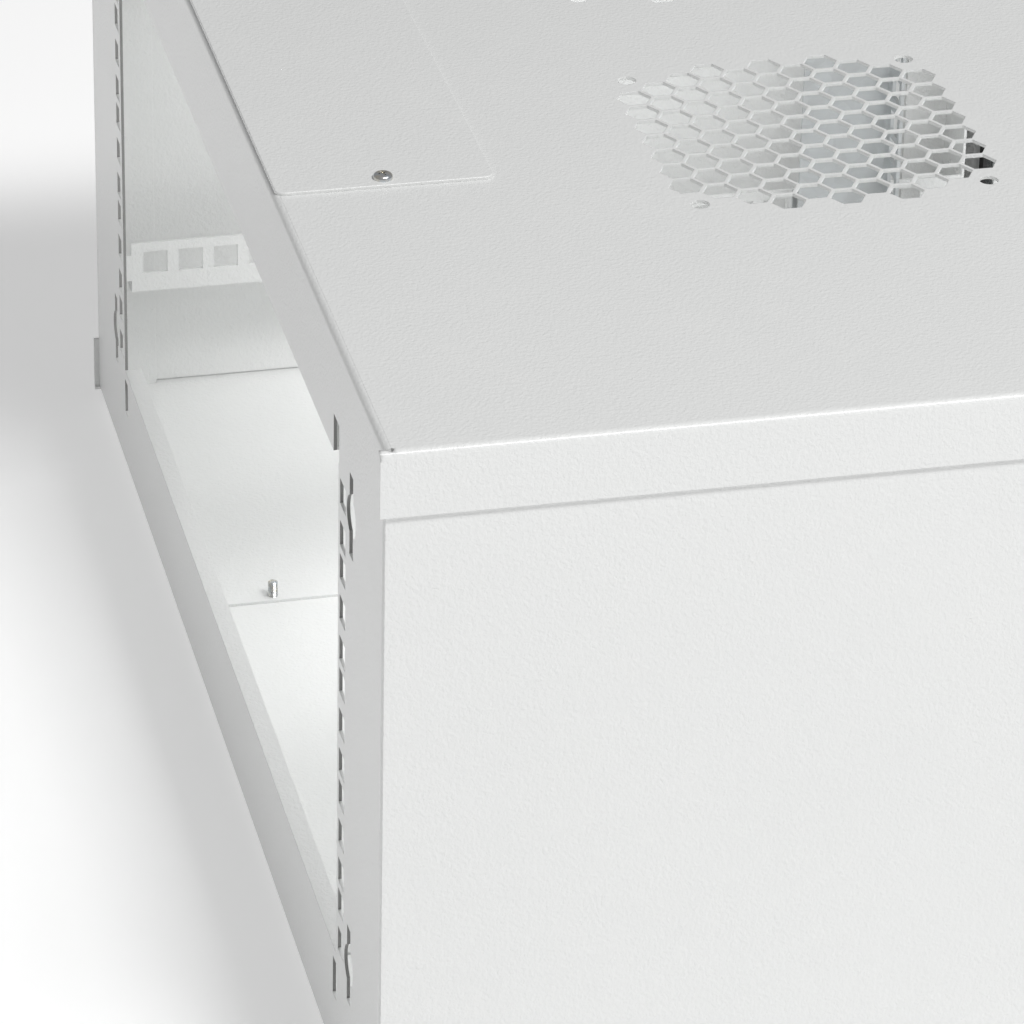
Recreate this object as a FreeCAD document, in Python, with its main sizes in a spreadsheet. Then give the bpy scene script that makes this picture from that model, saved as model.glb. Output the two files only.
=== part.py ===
import FreeCAD, Part
import math
import os
import re

# Wall and desk cabinet for 19-inch network equipment, four units high, open at the rear.
#
# The cabinet is folded from sheet steel: a roof, a floor, a rear frame with the rack holes, two
# side panels and a front frame. Depth rails carry a pair of mounting profiles, cover plates close
# the two cable entries, and a glazed door with a cam lock hangs on two pins at the front.
#
# Axes: X runs across the cabinet, +Y points to the rear, +Z is up. The origin is at the centre of
# the bounding box's bottom, on the surface that the rubber feet stand on. Sizes are millimetres.

SIZES = {
    # the whole cabinet
    "width": 600, "overallDepth": 400, "bodyHeight": 285.6, "footHeight": 7,
    "sheet": 1.2, "bendRadius": 2.4, "innerRadius": 1.2,
    "lipHeight": 24, "lipOverhang": 1.8, "panelSetback": 0.3,
    # rear frame
    "opening": 450, "topBand": 43.2, "bottomBand": 46.4, "flangeDepth": 25, "sillDepth": 7,
    "squareHole": 9.5, "holeSpacing": 465.1, "longPitch": 15.875, "shortPitch": 12.7,
    "rackSpan": 177.8, "holeMiddle": 141.2,
    "keyholeInset": 53.5, "keyholeRadius": 7.5, "keyholeSlot": 6, "keyholeLength": 31,
    "notchWidth": 9.5, "notchHeight": 14.2, "notchOverlap": 1,
    "slotWidth": 7, "slotHeight": 15.5, "slotDrop": 4.3,
    "reliefRadius": 0.9, "reliefInset": 2.2, "sillBend": 1.15,
    # cable entries and their cover plates
    "entryWidth": 200, "entryDepth": 60, "entryCentre": 40, "plateWidth": 219, "plateDepth": 78,
    "plateCorner": 3.5, "plateEdge": 0.4, "plateScrewSpacing": 208,
    # fan vents
    "ventOffset": 90, "ventCentre": 197, "hexPitch": 12.4, "hexFlats": 11.2,
    "fanSpacing": 105, "fanHoleRadius": 3.4,
    # depth rails and mounting profiles
    "railInner": 270, "railHeight": 23, "railLevel": 73.1, "railFlange": 10, "railTab": 15,
    "railEnd": 10.5, "tongueHeight": 12,
    "windowWidth": 10.3, "windowHeight": 10, "windowPitch": 15.2, "windowFirst": 20.85,
    "windowRise": 4.3, "windowCount": 23, "boltWindow": 19,
    "profileSheet": 1.5, "profileBack": 297, "profileFront": 336, "profileGap": 1.5,
    "profileFlange": 245, "bracketBack": 302, "bracketFront": 334,
    # front frame, door and lock
    "frontPost": 30, "frontBand": 26, "frontFlange": 20, "doorGap": 2, "doorDepth": 13,
    "doorHalf": 297, "doorClear": 4.4, "lockSide": 58, "hingeSide": 27,
    "doorBand": 24, "glassThickness": 4, "glassLap": 2.5,
    "beadWidth": 2.5, "beadLip": 1.5, "beadCover": 3,
    "pinInset": 5, "pinForward": 9.5, "pinRadius": 2.5, "bushClearance": 0.08, "bushWall": 1,
    "bushLength": 6, "hingeThickness": 2, "hingeWidth": 19, "hingeReach": 5,
    "lockInset": 39, "lockHead": 3, "lockHeadRadius": 9.5, "barrelRadius": 7, "plugRadius": 5,
    "camBehind": 1.8, "camThickness": 2, "camWidth": 12, "camLength": 26, "lockNutFlats": 17.6,
    "lockNutThickness": 3, "camGap": 0.4, "camEye": 7, "plugClearance": 0.05, "plugSetback": 0.8,
    "keyWidth": 1.8, "keyHeight": 6.8, "keyReach": 6,
    "camScrewRadius": 2.5, "camScrewHead": 5, "camScrewHeadHeight": 2.6,
    "sealWidth": 8, "sealThickness": 1.6, "sealInset": 16,
    # screws, studs and feet
    "plateScrewRadius": 2, "plateScrewHead": 3.5, "plateScrewHeadHeight": 2.2,
    "plateScrewLength": 9.3, "boltRadius": 3, "boltHead": 5.5, "boltHeadHeight": 3.6, "boltProud": 2,
    "nutSquare": 13, "nutThickness": 4.5, "studRadius": 3, "studHeight": 20, "studInset": 60,
    "studSetback": 110, "studNutFlats": 10, "studNutHeight": 5, "washerThickness": 1.6,
    "footRadius": 11, "footInset": 45, "footChamfer": 1.5,
}

REAR = "(overallDepth/2 - lipOverhang)"
FRONT = "(lockHead + doorDepth + doorGap - overallDepth/2)"
DOOR_BACK = f"({FRONT} - doorGap)"
DOOR_FACE = f"({DOOR_BACK} - doorDepth)"
FLOOR = "footHeight"
ROOF = "(footHeight + bodyHeight)"
SIDE = "(width/2)"
MIDDLE = f"({ROOF} - holeMiddle)"
PIN_X = "(doorHalf - pinInset)"
PIN_Y = f"({FRONT} - pinForward)"
LOCK_X = "(lockInset - doorHalf)"
BEYOND = 1
TOUCHING = 1e-4
RACK_HOLES = 13
VENT_ROWS = (7, 8, 9, 10, 9, 10, 9, 10, 9, 8, 7)

doc = FreeCAD.newDocument("rack_cabinet")
sheet = doc.addObject("Spreadsheet::Sheet", "sizes")
for row, (alias, value) in enumerate(SIZES.items(), start=1):
    sheet.set(f"A{row}", str(value))
    sheet.setAlias(f"A{row}", alias)
gauge = doc.addObject("App::FeaturePython", "gauge")
gauge.addProperty("App::PropertyFloat", "Reading")
doc.recompute()

nodes = []


def bound(text):
    """The expression with every size's name pointed at its cell."""
    return re.sub(r"[A-Za-z]\w*", lambda word: "sizes." + word.group(0), str(text))


def number(text):
    """The value of an expression on the sizes, in millimetres, read off the gauge."""
    gauge.setExpression("Reading", bound(text))
    gauge.recompute()
    return gauge.Reading


def node(item, label):
    """Mark an object as one piece of the cabinet, under the name of its file."""
    item.Label = label
    nodes.append(item)
    return item


def put(item, x, y, z):
    for axis, text in zip("xyz", (x, y, z)):
        item.setExpression(f"Placement.Base.{axis}", bound(text))


def size_block(item, low, high):
    for side, a, b in zip(("Length", "Width", "Height"), low, high):
        item.setExpression(side, bound(f"({b}) - ({a})"))
    put(item, *low)
    return item


def box(low, high):
    return size_block(doc.addObject("Part::Box", "box"), low, high)


def cylinder(radius, height, foot, direction=(0, 0, 1)):
    item = doc.addObject("Part::Cylinder", "cylinder")
    item.setExpression("Radius", bound(radius))
    item.setExpression("Height", bound(height))
    item.Placement = FreeCAD.Placement(
        FreeCAD.Vector(), FreeCAD.Rotation(FreeCAD.Vector(0, 0, 1), FreeCAD.Vector(*direction)))
    put(item, *foot)
    return item


def ordered(side, near_end, far_end):
    """Two x values of one side of the cabinet, the smaller first."""
    return (near_end, far_end) if side > 0 else (far_end, near_end)


def fuse(items):
    if len(items) == 1:
        return items[0]
    item = doc.addObject("Part::MultiFuse", "fusion")
    item.Shapes = items
    item.Refine = True
    return item


def cut(base, tools):
    item = doc.addObject("Part::Cut", "cut")
    item.Base = base
    item.Tool = fuse(tools)
    item.Refine = True
    return item


def group(items):
    item = doc.addObject("Part::Compound", "group")
    item.Links = items
    return item


def edges_at(shape, test):
    """Names of the straight edges for which the test holds at both ends."""
    names = []
    for index, edge in enumerate(shape.Edges, start=1):
        if len(edge.Vertexes) < 2:
            continue
        start, end = (vertex.Point for vertex in edge.Vertexes)
        if test(start, end) and test(end, start):
            names.append(f"Edge{index}")
    return names


def near(value, target):
    return abs(value - target) < TOUCHING


def folded(name, low, high, hollow_low, hollow_high, outer, inner):
    """A folded sheet: a block, hollowed from one side, with rounded bends outside and in."""
    body = doc.addObject("PartDesign::Body", name + "_fold")
    size_block(body.newObject("PartDesign::AdditiveBox", name + "_block"), low, high)
    doc.recompute()
    hollow = body.newObject("PartDesign::SubtractiveBox", name + "_hollow")
    size_block(hollow, hollow_low, hollow_high)
    doc.recompute()
    last = hollow
    for suffix, test, radius in (("outer", outer, "bendRadius"), ("inner", inner, "innerRadius")):
        bend = body.newObject("PartDesign::Fillet", f"{name}_{suffix}_bends")
        bend.Base = (last, edges_at(last.Shape, test))
        bend.setExpression("Radius", bound(radius))
        doc.recompute()
        last = bend
    body.Tip = last
    return body


def rounded_plate(name, low, high, outer):
    """A flat plate with rounded corners, its outer face's edge eased by the paint."""
    body = doc.addObject("PartDesign::Body", name + "_blank")
    solid = size_block(body.newObject("PartDesign::AdditiveBox", name + "_block"), low, high)
    doc.recompute()
    corners = body.newObject("PartDesign::Fillet", name + "_corners")
    corners.Base = (solid, edges_at(solid.Shape, lambda a, b: near(a.x, b.x) and near(a.y, b.y)))
    corners.setExpression("Radius", bound("plateCorner"))
    doc.recompute()
    level = number(outer)
    eased = body.newObject("PartDesign::Fillet", name + "_eased_edge")
    eased.Base = (corners, edges_at(corners.Shape, lambda a, b: near(a.z, level)))
    eased.setExpression("Radius", bound("plateEdge"))
    body.Tip = eased
    return body


def screw(point, direction, head_radius, head_height, radius, length):
    """A pan head and its shank: the head stands against the direction, on the point."""
    along = [f"({p}) - ({d})*({head_height})" for p, d in zip(point, direction)]
    head = cylinder(head_radius, head_height, along, direction)
    return fuse([head, cylinder(radius, length, point, direction)])


def rack_heights():
    """Heights of the thirteen square holes, in the repeating steps of the rack standard."""
    steps = ["longPitch", "shortPitch", "longPitch"]
    heights = [f"({MIDDLE} + rackSpan/2)"]
    for count in range(RACK_HOLES - 1):
        heights.append(f"({heights[-1]} - {steps[count % len(steps)]})")
    return heights


def rack_holes(y_low, y_high, side):
    """The square holes of one post or profile."""
    centre = f"({side}*holeSpacing/2)"
    half = "squareHole/2"
    return [box((f"{centre} - {half}", y_low, f"{height} - {half}"),
                (f"{centre} + {half}", y_high, f"{height} + {half}"))
            for height in rack_heights()]


# ---------------------------------------------------------------- roof and floor

def vent_punches():
    """Punches of the two fan vents: a ragged honeycomb and four screw holes each."""
    pitch = number("hexPitch")
    radius = number("hexFlats") / math.sqrt(3)
    depth = number(f"sheet + 2*{BEYOND}")
    row_step = pitch * math.sqrt(3) / 2
    start = FreeCAD.Vector(0, number(f"{REAR} - ventCentre"), number(f"{ROOF} - sheet - {BEYOND}"))
    holes = []
    for side in (-1, 1):
        middle = start + FreeCAD.Vector(side * number("ventOffset"), 0, 0)
        for row, count in enumerate(VENT_ROWS):
            y = (row - (len(VENT_ROWS) - 1) / 2) * row_step
            for column in range(count):
                x = (column - (count - 1) / 2) * pitch
                corners = [middle + FreeCAD.Vector(x + radius * math.sin(math.pi / 3 * k),
                                                   y + radius * math.cos(math.pi / 3 * k), 0)
                           for k in range(6)]
                face = Part.Face(Part.makePolygon(corners + corners[:1]))
                holes.append(face.extrude(FreeCAD.Vector(0, 0, depth)))
        reach = number("fanSpacing") / 2
        for x in (-reach, reach):
            for y in (-reach, reach):
                foot = middle + FreeCAD.Vector(x, y, 0)
                holes.append(Part.makeCylinder(number("fanHoleRadius"), depth, foot))
    punches = doc.addObject("Part::Feature", "vent_punches")
    punches.Shape = Part.makeCompound(holes)
    return punches


def entry_tools(z_low, z_high):
    """The cable entry and its two screw holes, as cut through the roof or the floor."""
    y = f"({REAR} - entryCentre)"
    tools = [box(("-entryWidth/2", f"{y} - entryDepth/2", z_low),
                 ("entryWidth/2", f"{y} + entryDepth/2", z_high))]
    for side in (-1, 1):
        foot = (f"{side}*plateScrewSpacing/2", y, z_low)
        tools.append(cylinder("plateScrewRadius", f"({z_high}) - ({z_low})", foot))
    return tools


def relief_holes(z_low):
    """Small round reliefs where the bends meet at the rear corners."""
    return [cylinder("reliefRadius", f"2*bendRadius + 2*{BEYOND}",
                     (f"{side}*({SIDE} - reliefInset)", f"{REAR} - reliefInset", z_low))
            for side in (-1, 1)]


def make_cover(label, upper):
    """The roof or the floor: a sheet with a lip down each side, ending at the rear bend."""
    side = number(SIDE)
    thick = number("sheet")
    skin = number(ROOF if upper else FLOOR)
    face = skin - thick if upper else skin + thick
    edge = f"({ROOF} - lipHeight)" if upper else f"({FLOOR} + lipHeight)"
    y = (FRONT, f"({REAR} + lipOverhang)")
    z = (edge, ROOF) if upper else (FLOOR, edge)
    hollow_z = (f"{edge} - {BEYOND}", f"{ROOF} - sheet") if upper else (
        f"{FLOOR} + sheet", f"{edge} + {BEYOND}")
    fold = folded(
        label, (f"-{SIDE}", y[0], z[0]), (SIDE, y[1], z[1]),
        (f"sheet - {SIDE}", f"{y[0]} - {BEYOND}", hollow_z[0]),
        (f"{SIDE} - sheet", f"{y[1]} + {BEYOND}", hollow_z[1]),
        lambda a, b: near(a.x, b.x) and near(abs(a.x), side) and near(a.z, skin),
        lambda a, b: near(a.x, b.x) and near(abs(a.x), side - thick) and near(a.z, face))
    bend_z = (f"{ROOF} - bendRadius", f"{ROOF} + {BEYOND}") if upper else (
        f"{FLOOR} - {BEYOND}", f"{FLOOR} + bendRadius")
    through = (f"{ROOF} - 2*sheet", f"{ROOF} + sheet") if upper else (
        f"{FLOOR} - sheet", f"{FLOOR} + 2*sheet")
    tools = [box((f"bendRadius - {SIDE}", f"{REAR} - bendRadius", bend_z[0]),
                 (f"{SIDE} - bendRadius", f"{y[1]} + {BEYOND}", bend_z[1]))]
    tools += entry_tools(*through)
    tools += relief_holes(bend_z[0] if upper else f"{FLOOR} - {BEYOND}")
    if upper:
        tools.append(vent_punches())
    return node(cut(fold, tools), label)


def make_cable_plate(label, upper):
    """The plate that closes a cable entry from outside."""
    z = (ROOF, f"{ROOF} + sheet") if upper else (f"{FLOOR} - sheet", FLOOR)
    y = f"({REAR} - entryCentre)"
    plate = rounded_plate(label, ("-plateWidth/2", f"{y} - plateDepth/2", z[0]),
                          ("plateWidth/2", f"{y} + plateDepth/2", z[1]), z[1 if upper else 0])
    holes = [cylinder("plateScrewRadius", "3*sheet",
                      (f"{side}*plateScrewSpacing/2", y, f"{z[0]} - sheet")) for side in (-1, 1)]
    return node(cut(plate, holes), label)


def make_plate_screws(label, upper):
    z = f"({ROOF} + sheet)" if upper else f"({FLOOR} - sheet)"
    screws = [screw((f"{side}*plateScrewSpacing/2", f"{REAR} - entryCentre", z),
                    (0, 0, -1 if upper else 1), "plateScrewHead", "plateScrewHeadHeight",
                    "plateScrewRadius", "plateScrewLength") for side in (-1, 1)]
    return node(group(screws), label)


# ---------------------------------------------------------------- rear frame and side panels

def keyholes():
    """Four keyholes for wall screws, level with the first and the last rack hole."""
    tools = []
    for side in (-1, 1):
        x = f"({side}*({SIDE} - keyholeInset))"
        for level in (-1, 1):
            z = f"({MIDDLE} + {level}*rackSpan/2)"
            foot = (x, f"{REAR} - 3*sheet", z)
            tools.append(cylinder("keyholeRadius", "4*sheet", foot, (0, 1, 0)))
            tools.append(box((f"{x} - keyholeSlot/2", f"{REAR} - 3*sheet", f"{z} - keyholeLength/2"),
                             (f"{x} + keyholeSlot/2", f"{REAR} + sheet", f"{z} + keyholeLength/2")))
    return tools


def corner_slots():
    """Slots at the window's corners: the upper ones run out into it, the lower ones are closed."""
    tools = []
    upper = f"({ROOF} - topBand)"
    lower = f"({FLOOR} + bottomBand - slotDrop)"
    for side in (-1, 1):
        edge = f"({side}*(opening/2 + notchOverlap))"
        for width, low_z, high_z in (("notchWidth", upper, f"{upper} + notchHeight"),
                                     ("slotWidth", f"{lower} - slotHeight", lower)):
            low_x, high_x = ordered(side, f"({edge} - {side}*{width})", edge)
            tools.append(box((low_x, f"{REAR} - 3*sheet", low_z),
                             (high_x, f"{REAR} + sheet", high_z)))
    return tools


def make_sill(name, z_low, z_high, reach, round_z):
    """A narrow flange turned inwards along an edge of the window."""
    body = doc.addObject("PartDesign::Body", name + "_fold")
    block = size_block(body.newObject("PartDesign::AdditiveBox", name + "_block"),
                       (f"-({reach})", f"{REAR} - sillDepth", z_low), (reach, REAR, z_high))
    doc.recompute()
    rear, level = number(REAR), number(round_z)
    bend = body.newObject("PartDesign::Fillet", name + "_bend")
    bend.Base = (block, edges_at(block.Shape, lambda a, b: near(a.y, rear) and near(a.z, level)))
    bend.setExpression("Radius", bound("sillBend"))
    body.Tip = bend
    return body


def make_rear_frame():
    """The rear sheet with the roof's and the floor's bends, side flanges, window and holes."""
    outside = f"({SIDE} - 2*sheet)"
    inside = f"({SIDE} - 3*sheet)"
    back = f"({REAR} - flangeDepth)"
    rear = number(REAR)
    thick = number("sheet")
    fold = folded(
        "rear_frame", (f"-{outside}", back, FLOOR), (outside, REAR, ROOF),
        (f"-{inside}", f"{back} - {BEYOND}", f"{FLOOR} + sheet"),
        (inside, f"{REAR} - sheet", f"{ROOF} - sheet"),
        lambda a, b: near(a.y, rear), lambda a, b: near(a.y, rear - thick))
    bend_end = f"({REAR} - bendRadius)"
    window_low, window_high = f"({FLOOR} + bottomBand)", f"({ROOF} - topBand)"
    tools = [box((f"-{SIDE}", f"{back} - {BEYOND}", f"{FLOOR} - {BEYOND}"),
                 (SIDE, bend_end, f"{FLOOR} + sheet")),
             box((f"-{SIDE}", f"{back} - {BEYOND}", f"{ROOF} - sheet"),
                 (SIDE, bend_end, f"{ROOF} + {BEYOND}")),
             box(("-opening/2", f"{REAR} - 3*sheet", window_low),
                 ("opening/2", f"{REAR} + sheet", window_high))]
    tools += keyholes() + corner_slots()
    tools += relief_holes(f"{ROOF} - bendRadius") + relief_holes(f"{FLOOR} - {BEYOND}")
    for side in (-1, 1):
        tools += rack_holes(f"{REAR} - 3*sheet", f"{REAR} + sheet", side)
    lower = make_sill("lower_sill", f"{window_low} - sheet", window_low, "opening/2", window_low)
    upper = make_sill("upper_sill", window_high, f"{window_high} + sheet",
                      "opening/2 - notchWidth + notchOverlap", window_high)
    return node(fuse([cut(fold, tools), lower, upper]), "rear_frame")


def make_side_panel(label, side):
    outer, inner = f"({side}*({SIDE} - sheet))", f"({side}*({SIDE} - 2*sheet))"
    low_x, high_x = ordered(side, inner, outer)
    panel = box((low_x, FRONT, f"{FLOOR} + bendRadius"),
                (high_x, f"{REAR} - panelSetback", f"{ROOF} - bendRadius"))
    return node(panel, label)


# ---------------------------------------------------------------- rails and mounting profiles

def make_depth_rail(label, side, upper):
    """A rail from the rear frame to the front frame: windowed web, narrow flange, end tabs."""
    inner = f"({side}*railInner)"
    outer = f"({side}*(railInner + sheet))"
    level = f"({MIDDLE} {'+' if upper else '-'} railLevel)"
    low_z, high_z = f"({level} - railHeight/2)", f"({level} + railHeight/2)"
    y_front, y_rear = f"({FRONT} + sheet)", f"({REAR} - sheet)"
    y_end = f"({REAR} - railEnd)"
    ends = ordered(side, inner, outer)
    body = doc.addObject("PartDesign::Body", label + "_web")
    size_block(body.newObject("PartDesign::AdditiveBox", label + "_strip"),
               (ends[0], y_front, low_z), (ends[1], y_end, high_z))
    doc.recompute()
    window_low = f"({low_z} + windowRise)" if upper else f"({high_z} - windowRise - windowHeight)"
    window_y = f"({REAR} - windowFirst)"
    window = size_block(
        body.newObject("PartDesign::SubtractiveBox", label + "_window"),
        (f"{ends[0]} - {BEYOND}", f"{window_y} - windowWidth/2", window_low),
        (f"{ends[1]} + {BEYOND}", f"{window_y} + windowWidth/2", f"{window_low} + windowHeight"))
    doc.recompute()
    axis = next(item for item in body.Origin.OriginFeatures if item.Role == "Y_Axis")
    windows = body.newObject("PartDesign::LinearPattern", label + "_windows")
    windows.Originals = [window]
    windows.Direction = (axis, [""])
    windows.Reversed = True
    windows.setExpression("Length", bound("windowPitch*(windowCount - 1)"))
    windows.setExpression("Occurrences", bound("windowCount"))
    body.Tip = windows
    doc.recompute()
    tab = ordered(side, outer, f"({side}*(railInner + railTab))")
    lip = ordered(side, outer, f"({side}*(railInner + railFlange))")
    lip_z = (f"{high_z} - sheet", high_z) if upper else (low_z, f"{low_z} + sheet")
    tongue_z = (f"{level} - tongueHeight/2", f"{level} + tongueHeight/2")
    parts = [body,
             box((lip[0], y_front, lip_z[0]), (lip[1], y_end, lip_z[1])),
             box((tab[0], y_front, low_z), (tab[1], f"{y_front} + sheet", high_z)),
             box((ends[0], y_end, tongue_z[0]), (ends[1], y_rear, tongue_z[1])),
             box((tab[0], f"{y_rear} - sheet", tongue_z[0]), (tab[1], y_rear, tongue_z[1]))]
    return node(fuse(parts), label)


def make_profile(label, side):
    """A mounting profile: the square-holed face and the flange that stands along the rails."""
    edge, outside = f"({side}*opening/2)", f"({side}*profileFlange)"
    inside = f"({side}*(profileFlange - profileSheet))"
    back, front = f"({REAR} - profileBack)", f"({REAR} - profileFront)"
    z = (f"({FLOOR} + sheet + profileGap)", f"({ROOF} - sheet - profileGap)")
    face_x, flange_x = ordered(side, edge, outside), ordered(side, inside, outside)
    face = box((face_x[0], front, z[0]), (face_x[1], f"{front} + profileSheet", z[1]))
    flange = box((flange_x[0], front, z[0]), (flange_x[1], back, z[1]))
    tools = rack_holes(f"{front} - {BEYOND}", f"{front} + 2*profileSheet", side)
    return node(cut(fuse([face, flange]), tools), label)


def bolt_points(side):
    """Where the bolts pass a rail: the middle of one window in each, level with the bracket."""
    y = f"({REAR} - windowFirst - boltWindow*windowPitch)"
    drop = "(railHeight/2 - windowRise - windowHeight/2)"
    return [(f"({side}*railInner)", y, f"({MIDDLE} {sign} (railLevel - {drop}))")
            for sign in ("-", "+")]


def make_profile_brackets():
    """Channel brackets that bridge from the profiles' flanges to the rails."""
    brackets = []
    y = (f"({REAR} - bracketFront)", f"({REAR} - bracketBack)")
    for side in (-1, 1):
        x = ordered(side, f"({side}*profileFlange)", f"({side}*railInner)")
        points = bolt_points(side)
        for sign, point in zip(("-", "+"), points):
            low_z = f"({MIDDLE} {sign} railLevel - railHeight/2)"
            high_z = f"({MIDDLE} {sign} railLevel + railHeight/2)"
            block = box((x[0], y[0], low_z), (x[1], y[1], high_z))
            hollow = box((f"{x[0]} + profileSheet", f"{y[0]} + profileSheet", f"{low_z} - {BEYOND}"),
                         (f"{x[1]} - profileSheet", f"{y[1]} + {BEYOND}", f"{high_z} + {BEYOND}"))
            bore = cylinder("boltRadius", "4*profileSheet",
                            (f"{point[0]} - {side}*3*profileSheet",) + point[1:], (side, 0, 0))
            brackets.append(cut(block, [hollow, bore]))
    return node(group(brackets), "profile_brackets")


def make_profile_bolts():
    bolts, nuts = [], []
    for side in (-1, 1):
        for x, y, z in bolt_points(side):
            seat = f"({x} - {side}*profileSheet)"
            bolts.append(screw((seat, y, z), (side, 0, 0), "boltHead", "boltHeadHeight",
                               "boltRadius", "profileSheet + sheet + nutThickness + boltProud"))
            low_x, high_x = ordered(side, f"({side}*(railInner + sheet))",
                                    f"({side}*(railInner + sheet + nutThickness))")
            blank = box((low_x, f"{y} - nutSquare/2", f"{z} - nutSquare/2"),
                        (high_x, f"{y} + nutSquare/2", f"{z} + nutSquare/2"))
            bore = cylinder("boltRadius", "2*nutThickness",
                            (f"{side}*railInner", y, z), (side, 0, 0))
            nuts.append(cut(blank, [bore]))
    node(group(bolts), "profile_bolts")
    node(group(nuts), "profile_nuts")


# ---------------------------------------------------------------- front frame and hinges

def make_front_frame():
    """The flat ring that the door closes against, and the four flanges welded behind its edge."""
    outside, inside = f"({SIDE} - 2*sheet)", f"({SIDE} - 3*sheet)"
    low, high = f"({FLOOR} + sheet)", f"({ROOF} - sheet)"
    back = f"({FRONT} + sheet)"
    reach = f"({SIDE} - frontPost)"
    ring = box((f"-{outside}", FRONT, low), (outside, back, high))
    window = box((f"-{reach}", f"{FRONT} - {BEYOND}", f"{FLOOR} + frontBand"),
                 (reach, f"{FRONT} + 3*sheet", f"{ROOF} - frontBand"))
    notches = [box((start[0], f"{FRONT} - {BEYOND}", start[2]),
                   (end[0], f"{FRONT} + 3*sheet", end[2]))
               for start, end in (hinge_span(True), hinge_span(False))]
    node(cut(ring, [window] + notches), "front_frame")
    end = f"({FRONT} + frontFlange)"
    plate_edge = f"({SIDE} - 3*sheet - hingeWidth)"
    uprights = [box((x[0], back, low), (x[1], end, high))
                for x in ((f"-{outside}", f"-{inside}"), (inside, outside))]
    levels = [box((f"-{inside}", back, z[0]), (plate_edge, end, z[1]))
              for z in ((low, f"{low} + sheet"), (f"{high} - sheet", high))]
    node(group(uprights + levels), "front_flanges")


def hinge_span(upper):
    """Corners of a hinge plate, which passes under the roof or over the floor."""
    x = (f"({SIDE} - 3*sheet - hingeWidth)", f"({SIDE} - 3*sheet)")
    y = (f"({PIN_Y} - hingeReach)", f"({FRONT} + frontFlange)")
    top = f"({ROOF} - sheet)" if upper else f"({FLOOR} + sheet + hingeThickness)"
    return (x[0], y[0], f"{top} - hingeThickness"), (x[1], y[1], top)


def make_hinge_plate(label, upper):
    low, high = hinge_span(upper)
    bore = cylinder("pinRadius", "3*hingeThickness", (PIN_X, PIN_Y, f"{low[2]} - hingeThickness"))
    return node(cut(box(low, high), [bore]), label)


def make_hinge_pins():
    upper_end = f"({ROOF} - doorClear - bushLength)"
    lower_end = f"({FLOOR} + doorClear + bushLength)"
    pins = [cylinder("pinRadius", f"{ROOF} - sheet - {upper_end}", (PIN_X, PIN_Y, upper_end)),
            cylinder("pinRadius", f"{lower_end} - {FLOOR} - sheet",
                     (PIN_X, PIN_Y, f"{FLOOR} + sheet"))]
    return node(group(pins), "hinge_pins")


def make_door_seal():
    """The foam strip glued round the front frame's window, thinner than the door's gap."""
    low_z, high_z = f"({FLOOR} + sealInset)", f"({ROOF} - sealInset)"
    outer = f"({SIDE} - sealInset)"
    y = (f"({FRONT} - sealThickness)", FRONT)
    ring = box((f"-{outer}", y[0], low_z), (outer, y[1], high_z))
    hole = box((f"sealWidth - {outer}", f"{y[0]} - {BEYOND}", f"{low_z} + sealWidth"),
               (f"{outer} - sealWidth", f"{y[1]} + {BEYOND}", f"{high_z} - sealWidth"))
    return node(cut(ring, [hole]), "door_seal")


# ---------------------------------------------------------------- door

def glass_span(extra):
    """The door's opening, widened by a margin, as x and z limits."""
    return (f"(lockSide - doorHalf - ({extra}))", f"(doorHalf - hingeSide + ({extra}))",
            f"({FLOOR} + doorClear + doorBand - ({extra}))",
            f"({ROOF} - doorClear - doorBand + ({extra}))")


def make_door_frame():
    face = number(DOOR_FACE)
    thick = number("sheet")
    low_z, high_z = f"({FLOOR} + doorClear)", f"({ROOF} - doorClear)"
    fold = folded(
        "door_frame", ("-doorHalf", DOOR_FACE, low_z), ("doorHalf", DOOR_BACK, high_z),
        ("sheet - doorHalf", f"{DOOR_FACE} + sheet", f"{low_z} + sheet"),
        ("doorHalf - sheet", f"{DOOR_BACK} + {BEYOND}", f"{high_z} - sheet"),
        lambda a, b: near(a.y, face), lambda a, b: near(a.y, face + thick))
    x0, x1, z0, z1 = glass_span("0")
    outer = "pinRadius + bushClearance + bushWall"
    tools = [box((x0, f"{DOOR_FACE} - {BEYOND}", z0), (x1, f"{DOOR_FACE} + 3*sheet", z1)),
             cylinder("barrelRadius", "3*sheet",
                      (LOCK_X, f"{DOOR_FACE} - sheet", MIDDLE), (0, 1, 0)),
             cylinder(outer, "3*sheet", (PIN_X, PIN_Y, f"{low_z} - sheet")),
             cylinder(outer, "3*sheet", (PIN_X, PIN_Y, f"{high_z} - 2*sheet"))]
    return node(cut(fold, tools), "door_frame")


def make_hinge_bushes():
    """Nylon bushes pressed into the door's upper and lower flanges."""
    bushes = []
    outer = "(pinRadius + bushClearance + bushWall)"
    for upper in (True, False):
        skin = f"({ROOF} - doorClear)" if upper else f"({FLOOR} + doorClear)"
        inward = (0, 0, -1 if upper else 1)
        sign = -1 if upper else 1
        tube = cylinder(outer, "bushLength", (PIN_X, PIN_Y, skin), inward)
        bore = cylinder("pinRadius + bushClearance", f"bushLength + 2*{BEYOND}",
                        (PIN_X, PIN_Y, f"{skin} - {sign}*{BEYOND}"), inward)
        bushes.append(cut(tube, [bore]))
    return node(group(bushes), "hinge_bushes")


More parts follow.
